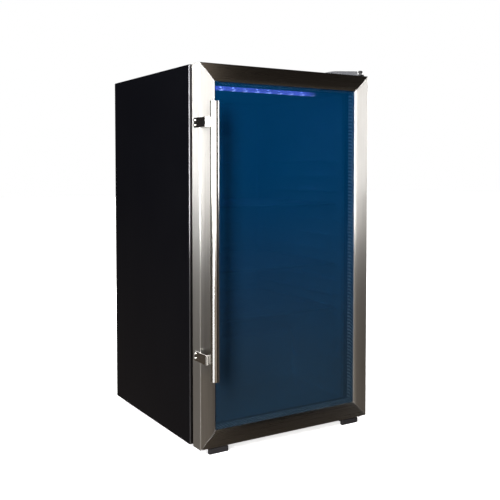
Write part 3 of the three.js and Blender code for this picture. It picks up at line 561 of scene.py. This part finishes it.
def turned(bm, profile, axis, centre, sides=48):
    """A turned solid from (radius, along) pairs. A third value makes that ring a hexagon."""
    rings = []
    for radius, along, *hexagon in profile:
        if radius == 0:
            rings.append([bm.verts.new(centre + at(axis, 0, 0, along))])
            continue
        ring = []
        for k in range(sides):
            turn = 2 * math.pi * k / sides
            reach = radius
            if hexagon:
                reach *= math.cos(math.pi / 6) / math.cos(turn % (math.pi / 3) - math.pi / 6)
            point = at(axis, reach * math.cos(turn), reach * math.sin(turn), along)
            ring.append(bm.verts.new(centre + point))
        rings.append(ring)
    if profile[0] == profile[-1] and profile[0][0] > 0:
        bmesh.ops.delete(bm, geom=rings.pop(), context="VERTS")
        rings.append(rings[0])
    for low, high in zip(rings, rings[1:]):
        skin(bm, low, high)


def bent(corners, reach, steps=6, closed=False):
    """A route through corners, with its bends rounded."""
    corners = [Vector(c) for c in corners]
    points = []
    for i, here in enumerate(corners):
        if not closed and i in (0, len(corners) - 1):
            points.append(here)
            continue
        start = here + (corners[i - 1] - here).normalized() * reach
        end = here + (corners[(i + 1) % len(corners)] - here).normalized() * reach
        for step in range(steps + 1):
            t = step / steps
            points.append(start.lerp(here, t).lerp(here.lerp(end, t), t))
    return points


def tube(bm, points, radius, sides=12, closed=False):
    """A round bar along points, with flat ends unless it is closed on itself."""
    points = [Vector(p) for p in points]
    turns = [2 * math.pi * k / sides for k in range(sides)]
    count = len(points)
    across = None
    rings = []
    for i, here in enumerate(points):
        before = points[i - 1] if closed or i > 0 else here
        after = points[(i + 1) % count] if closed or i < count - 1 else here
        along = (after - before).normalized()
        if across is None:
            across = along.orthogonal()
        across = (across - along * across.dot(along)).normalized()
        other = along.cross(across)
        ring = [here + (across * math.cos(t) + other * math.sin(t)) * radius for t in turns]
        rings.append([bm.verts.new(point) for point in ring])
    for low, high in zip(rings, rings[1:]):
        skin(bm, low, high)
    if closed:
        skin(bm, rings[-1], rings[0])
    else:
        for ring in (rings[0], rings[-1]):
            bm.faces.new(ring)


def mitred_ring(bm, section, low, high):
    """A rectangular ring; section is (inward, back) pairs from the ring's outer front edge."""
    corners = []
    for right, top in ((False, False), (True, False), (True, True), (False, True)):
        ring = []
        for inward, back in section:
            x = high.x - inward if right else low.x + inward
            z = high.z - inward if top else low.z + inward
            ring.append(bm.verts.new((x, low.y + back, z)))
        corners.append(ring)
    for i in range(4):
        skin(bm, corners[i - 1], corners[i])


def soften(bm, width, segments=2, angle=30):
    """Rounds off every edge that is sharper than the angle."""
    bmesh.ops.recalc_face_normals(bm, faces=bm.faces)
    sharp = [e for e in bm.edges if len(e.link_faces) == 2 and e.calc_face_angle() > math.radians(angle)]
    bmesh.ops.bevel(bm, geom=sharp, offset=width, segments=segments, profile=0.5,
                    affect="EDGES", clamp_overlap=True)


def piece(name, bm, material, *nodes, smooth=35):
    """Makes the mesh a piece that stands for CAD nodes, on their body and with the given material."""
    bmesh.ops.recalc_face_normals(bm, faces=bm.faces)
    bmesh.ops.scale(bm, vec=(MM, MM, MM), verts=bm.verts)
    mesh = bpy.data.meshes.new(name)
    bm.to_mesh(mesh)
    bm.free()
    mesh.materials.append(material)
    mesh.shade_smooth()
    mesh.set_sharp_from_angle(angle=math.radians(smooth))
    made = bpy.data.objects.new(name, mesh)
    scene.collection.objects.link(made)
    flat = made.modifiers.new("flat_faces", "WEIGHTED_NORMAL")
    flat.keep_sharp = True
    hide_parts(*nodes)
    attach(made, body_of[nodes[0]])
    return made


def from_cad(node):
    """A CAD node's shape as connected, flat-sided faces."""
    bm = bmesh.new()
    bm.from_mesh(frame["nodes"][node].data)
    bmesh.ops.scale(bm, vec=(1 / MM, 1 / MM, 1 / MM), verts=bm.verts)
    bmesh.ops.remove_doubles(bm, verts=bm.verts, dist=0.01)
    bmesh.ops.dissolve_limit(bm, angle_limit=math.radians(0.5), verts=bm.verts, edges=bm.edges)
    return bm


def refined(node, material, bevel=0.0, segments=2, smooth=35, angle=30):
    """A CAD node's shape with its edges rounded off and its curves shaded smooth."""
    bm = from_cad(node)
    if bevel:
        soften(bm, bevel, segments, angle)
    return piece(f"{node}_finished", bm, material, node, smooth=smooth)


# ---------------------------------------------------------------- cabinet

def make_wrap():
    """The folded outer sheet; its narrow front flange has a glossier paint, with a painted highlight along
    its edge and painted shadow further in.
    """
    wrap = refined("outer_wrap", PAINT, smooth=40)
    wrap.data.materials.append(FLANGE)
    low, _, _ = place("outer_wrap")
    for face in wrap.data.polygons:
        if face.normal.y < -0.9 and face.center.y < (low.y + 1) * MM:
            face.material_index = 1


def make_cabinet():
    make_wrap()
    refined("base_plate", GALVANISED, bevel=0.2)
    refined("bay_panel", GALVANISED)
    refined("back_panel", GALVANISED, bevel=0.2)
    refined("liner", LINER, smooth=40)
    refined("foam_insulation", FOAM)
    for side in ("left", "right"):
        refined(f"front_foot_{side}", FOOT_PLASTIC, bevel=0.6, segments=3)
        refined(f"rear_foot_{side}", FOOT_PLASTIC, bevel=0.6, segments=3)


# ---------------------------------------------------------------- hinges

def hex_bolt(node):
    """A flanged hexagon bolt with a chamfered head."""
    low, high, middle = place(node)
    bm = bmesh.new()
    tip = low.z - middle.z
    top = high.z - middle.z
    seat = top - 3.6
    shank, flange, head = 2.6, 5.0, 4.6
    turned(bm, [
        (0, tip), (shank, tip), (shank, seat), (flange, seat), (flange, seat + 0.7),
        (head, seat + 0.9, True), (head, top - 0.5, True), (head - 0.5, top), (0, top),
    ], "Z", middle, 48)
    piece(f"{node}_finished", bm, ZINC, node)


def make_hinges():
    # The top hinge leaf takes the darkened zinc copy as painted shade.
    refined("top_hinge_leaf", SHADED_ZINC, bevel=0.4, segments=3)
    refined("lower_hinge_plate", ZINC, bevel=0.3)
    for number in (1, 2):
        hex_bolt(f"top_hinge_bolt_{number}")
    refined("top_hinge_pin", BLACK_PLASTIC, bevel=0.2, smooth=50)
    refined("lower_hinge_pin", ZINC, bevel=0.2, smooth=50)
    for end in ("upper", "lower"):
        refined(f"hinge_bush_{end}", BLACK_PLASTIC, bevel=0.3)


# ---------------------------------------------------------------- door

def make_door_gasket():
    """Folded bellows with a magnet pocket behind and a dart in front."""
    low, high, _ = place("door_gasket")
    dart, wing, waist, magnet, back = 0, 5, 9.2, 12.7, 20.2
    section = rounded([
        (4.8, dart, 1), (11.2, dart, 1), (11.2, wing), (15, wing, 0.7), (15, 6.7, 0.7),
        (11, waist, 1.4), (16, magnet, 1.6), (16, back, 1.4), (0, back, 1.4), (0, magnet, 1.6),
        (5, waist, 1.4), (1, 6.7, 0.7), (1, wing, 0.7), (4.8, wing),
    ], steps=4)
    bm = bmesh.new()
    mitred_ring(bm, section, low, high)
    piece("door_gasket_finished", bm, RUBBER, "door_gasket", smooth=50)


def make_spacer():
    """The aluminium bar between the panes, with rounded shoulders."""
    low, high, _ = place("glass_spacer")
    depth = high.y - low.y
    width = 10
    section = rounded([(0, 0, 1), (width, 0, 1.5), (width, depth, 1.5), (0, depth, 1)], steps=4)
    bm = bmesh.new()
    mitred_ring(bm, section, low, high)
    piece("glass_spacer_finished", bm, SPACER, "glass_spacer")


def make_door():
    # The rails take the steel copy painted darker as painted shade, and the stiles the copy painted
    # lighter as painted light.
    for side in ("top", "bottom"):
        refined(f"door_rail_{side}", STEEL_LEVEL_SHADED, bevel=0.2, smooth=CREASE)
    for side in ("left", "right"):
        refined(f"door_stile_{side}", STEEL_UPRIGHT_LIT, bevel=0.2, smooth=CREASE)
    refined("door_core", BLACK_PLASTIC, bevel=0.3)
    refined("glass_outer", OUTER_GLASS, bevel=0.5)
    refined("glass_inner", INNER_GLASS, bevel=0.5)
    make_spacer()
    make_door_gasket()


# ---------------------------------------------------------------- handle

def make_bar():
    low, high, middle = place("handle_bar")
    radius = (high.x - low.x) / 2
    ease = 1.2
    rim, foot, crown = radius - ease, low.z + ease, high.z - ease
    bm = bmesh.new()
    profile = [(0, low.z)]
    profile += [(rim + ease * math.sin(t), foot - ease * math.cos(t)) for t in quarter_turn()]
    profile += [(rim + ease * math.cos(t), crown + ease * math.sin(t)) for t in quarter_turn()]
    profile.append((0, high.z))
    turned(bm, profile, "Z", Vector((middle.x, middle.y, 0)), 80)
    piece("handle_bar_finished", bm, HANDLE, "handle_bar")


def make_bracket(node):
    """A strip bent round the door's edge, with its corners and edges eased."""
    low, high, _ = place(node)
    sheet = 3
    outline = rounded([
        (low.x, high.y, 1), (low.x, low.y, 1.4), (high.x, low.y, 1), (high.x, low.y + sheet, 1),
        (low.x + sheet, low.y + sheet, 0.6), (low.x + sheet, high.y, 1),
    ], steps=8)
    bm = bmesh.new()
    prism(bm, outline, "Z", (low.z, high.z))
    soften(bm, 0.35, 3, angle=60)
    piece(f"{node}_finished", bm, HANDLE, node)


def make_screw(node, axis, head_at_low, material):
    """A round-headed screw with a hexagon socket. Its head is at one end of its box."""
    low, high, middle = place(node)
    index = "XYZ".index(axis)
    sign = 1 if head_at_low else -1
    head = low[index] if head_at_low else high[index]
    tip = high[index] if head_at_low else low[index]
    across = (high - low)[(index + 1) % 3] / 2
    socket, rim, shank, point = 1.15, 1.6, 1.8, 1.2
    floor = head + sign * 1.1
    seat = head + sign * 1.9
    dome = 1.9 * 0.9
    centre = middle.copy()
    centre[index] = 0
    profile = [(0, floor), (socket, floor, True), (socket, head, True), (rim, head)]
    profile += [(rim + (across - rim) * math.sin(t), head + sign * dome * (1 - math.cos(t)))
                for t in quarter_turn(5)[1:]]
    profile += [(across, seat), (shank, seat), (shank, tip - sign * 0.6), (point, tip), (0, tip)]
    bm = bmesh.new()
    turned(bm, profile, axis, centre, 36)
    piece(f"{node}_finished", bm, material, node)


def make_handle():
    make_bar()
    for end in ("lower", "upper"):
        make_bracket(f"handle_bracket_{end}")
        make_screw(f"handle_bar_screw_{end}", "Y", False, ZINC)
    for number in range(1, 5):
        make_screw(f"handle_screw_{number}", "X", True, HANDLE)


# ---------------------------------------------------------------- shelves

def make_shelf(node):
    """A wire frame with two bars under a row of close wires."""
    low, high, middle = place(node)
    thick, thin, pitch = 2.5, 1.5, 12.0
    level = low.z + thick
    top = high.z - thin
    left, right = low.x + thick, high.x - thick
    front, back = low.y + thick, high.y - thick
    bm = bmesh.new()
    loop = [(left, front, level), (right, front, level), (right, back, level), (left, back, level)]
    tube(bm, bent(loop, 9, closed=True), thick, 16, closed=True)
    for y in (middle.y - 70, middle.y + 70):
        tube(bm, [(left, y, level), (right, y, level)], thick, 16)
    count = int((right - left - pitch) / pitch)
    for k in range(count):
        x = middle.x + (k - (count - 1) / 2) * pitch
        tube(bm, [(x, low.y + 0.4, top), (x, high.y - 0.4, top)], thin, 10)
    piece(f"{node}_finished", bm, WIRE, node, smooth=50)


# ---------------------------------------------------------------- light and controls

def make_light():
    refined("led_housing", BLACK_PLASTIC, bevel=0.3)
    low, high, middle = place("led_board")
    board = bmesh.new()
    strip = rectangle((low.x, middle.y - 5), (high.x, middle.y + 5), 1)
    prism(board, strip, "Z", (high.z - 1.2, high.z))
    piece("led_board_finished", board, LED_BOARD, "led_board")
    chips = bmesh.new()
    for k in range(LED_COUNT):
        spot = Vector((FIRST_LED + k * LED_PITCH, middle.y, 0))
        turned(chips, [(0, high.z - 1.1), (2.4, high.z - 1.1), (2.4, high.z - 1.9), (1.7, high.z - 2.45),
                       (0.9, high.z - 2.6), (0, high.z - 2.62)], "Z", spot, 24)
    piece("led_chips", chips, LED_CHIP, "led_board")
    refined("led_lens", LENS, bevel=0.3)


def make_knob():
    """A round knob with a stepped rim, a raised grip and a pointer line."""
    low, high, middle = place("thermostat_knob")
    shaft, face = low.x, high.x
    centre = Vector((0, middle.y, middle.z))
    rim = face - 8
    bm = bmesh.new()
    skirt = rim - 4.4
    turned(bm, [
        (0, shaft), (3, shaft), (3, skirt), (15, skirt), (15.5, rim - 2.4), (15.2, rim - 0.9),
        (14.4, rim), (13.2, rim + 0.4), (0, rim + 0.4),
    ], "X", centre, 96)
    grip = rectangle((centre.y - 13, centre.z - 3.5), (centre.y + 13, centre.z + 3.5), 3)
    prism(bm, grip, "X", (rim, face))
    piece("thermostat_knob_finished", bm, CONTROL, "thermostat_knob", smooth=40)
    line = bmesh.new()
    prism(line, rectangle((centre.y + 4, centre.z - 0.5), (centre.y + 12, centre.z + 0.5), 0.4), "X",
          (face - 0.3, face + 0.05))
    pointer = piece("thermostat_pointer", line, BLACK_PLASTIC, "thermostat_knob")


def make_dial_marks():
    """Plain dots round the knob, each larger than the last."""
    _, box_high, _ = place("control_box")
    _, _, middle = place("thermostat_knob")
    dots, ring = 7, 20.5
    bm = bmesh.new()
    for k in range(dots):
        turn = math.radians(-135 + 45 * k)
        spot = Vector((0, middle.y + ring * math.sin(turn), middle.z + ring * math.cos(turn)))
        size = 0.5 + 0.12 * k
        turned(bm, [(0, box_high.x - 0.4), (size, box_high.x - 0.4), (size, box_high.x + 0.15),
                    (0, box_high.x + 0.2)], "X", spot, 20)
    marks = piece("dial_marks", bm, BLACK_PLASTIC, "control_box")


def make_controls():
    refined("control_box", CONTROL, bevel=0.4, segments=3)
    make_knob()
    make_dial_marks()
    refined("light_switch", BLACK_PLASTIC, bevel=0.3)


# ---------------------------------------------------------------- evaporator and drain

def make_evaporator():
    refined("evaporator_plate", ALUMINIUM, bevel=0.8, segments=3, angle=60)
    refined("drain_gutter", LINER, bevel=0.5)
    refined("drain_hose", LINER, bevel=0.2)


# ---------------------------------------------------------------- compressor bay

def make_compressor():
    """A welded can with its flange, on a pressed foot plate, with a sealed filling tube."""
    low, _, middle = place("compressor")
    bm = bmesh.new()
    z = low.z
    can, weld = 59, 61
    turned(bm, [
        (0, z + 1), (42, z + 1), (49, z + 4), (54, z + 10), (57.6, z + 17), (can, z + 24),
        (can, z + 47.4), (weld - 0.2, z + 47.8), (weld, z + 50), (weld - 0.2, z + 52.2), (can, z + 52.6),
        (can, z + 72), (58, z + 79), (55, z + 86), (50.5, z + 91.5), (44, z + 95.6), (36, z + 98.6),
        (26, z + 100.6), (13, z + 101.7), (0, z + 102),
    ], "Z", Vector((middle.x, middle.y, 0)), 72)
    corners = rectangle((middle.x - 74, middle.y - 52), (middle.x + 74, middle.y + 52), 10)
    prism(bm, corners, "Z", (z, z + 3))
    stub = [(middle.x - 30, middle.y - 52, z + 34), (middle.x - 34, middle.y - 58, z + 38)]
    tube(bm, stub, 2.5, 12)
    piece("compressor_finished", bm, COMPRESSOR, "compressor", smooth=45)


def make_grommet(node):
    """A ribbed rubber foot."""
    low, high, middle = place(node)
    z = low.z
    bm = bmesh.new()
    turned(bm, [
        (0, z), (8.4, z), (9, z + 0.6), (9, z + 2.6), (8.3, z + 3.2), (7.4, z + 4),
        (8.3, z + 4.8), (9, z + 5.4), (9, z + 7.4), (8.4, z + 8), (3.6, z + 8),
        (3.6, high.z - 0.6), (3.0, high.z), (0, high.z),
    ], "Z", Vector((middle.x, middle.y, 0)), 40)
    piece(f"{node}_finished", bm, FOOT_PLASTIC, node, smooth=40)


def make_drier():
    """A spun copper can that narrows into a tube at both ends."""
    low, high, middle = place("filter_drier")
    bottom, top = low.z, high.z
    shoulder = [(3.0 + 5.5 * (1 - math.cos(t)), bottom + 8 + 8 * math.sin(t)) for t in quarter_turn(5)]
    cap = [(3.4 + 5.1 * math.cos(t), top - 16 + 8 * math.sin(t)) for t in quarter_turn(5)]
    profile = [(0, bottom), (2.6, bottom), (2.6, bottom + 7), *shoulder, *cap, (3.4, top), (0, top)]
    bm = bmesh.new()
    turned(bm, profile, "Z", Vector((middle.x, middle.y, 0)), 40)
    piece("filter_drier_finished", bm, COPPER, "filter_drier", smooth=40)


def make_condenser():
    """The long tube, and the thin upright wires welded to both sides of its runs."""
    refined("condenser", COMPRESSOR, smooth=50)
    _, high, _ = place("condenser")
    radius, pitch, each_side = 0.6, 6.2, 29
    bottom, top = 229, high.z - 8
    outer = high.y - radius
    inner = high.y - 5 + radius
    bm = bmesh.new()
    for k in range(-each_side, each_side + 1):
        x = k * pitch
        for y in (outer, inner):
            tube(bm, [(x, y, bottom), (x, y, top)], radius, 8)
    piece("condenser_wires", bm, COMPRESSOR, "condenser", smooth=60)


def make_bay():
    make_compressor()
    for number in range(1, 5):
        make_grommet(f"compressor_grommet_{number}")
    refined("relay_box", BLACK_PLASTIC, bevel=0.5, segments=3)
    refined("evaporation_tray", BLACK_PLASTIC, bevel=0.3)
    make_drier()
    make_condenser()
    for node in ("discharge_pipe", "suction_pipe"):
        refined(node, COPPER, smooth=60)
    refined("cord_gland", BLACK_PLASTIC, bevel=0.2, smooth=50)


# ---------------------------------------------------------------- light inside the cabinet

def inside_light():
    """The blue light that the strip throws down into the cabinet."""
    low, high, middle = place("led_lens")
    data = bpy.data.lights.new("strip_light", "AREA")
    data.shape = "RECTANGLE"
    data.size = (high.x - low.x) * MM
    data.size_y = 30 * MM
    data.energy = 0.015
    data.color = (0.03, 0.3, 1.0)
    light = bpy.data.objects.new("strip_light", data)
    light.location = (middle.x * MM, middle.y * MM, (low.z - 3) * MM)
    light.rotation_euler = (math.radians(25), 0, 0)
    light.visible_camera = False
    light.visible_glossy = False
    scene.collection.objects.link(light)
    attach(light, "cabinet")


make_camera()
make_studio()
make_cabinet()
make_hinges()
make_door()
make_handle()
for number in (1, 2, 3):
    make_shelf(f"wire_shelf_{number}")
make_light()
make_controls()
make_evaporator()
make_bay()
inside_light()
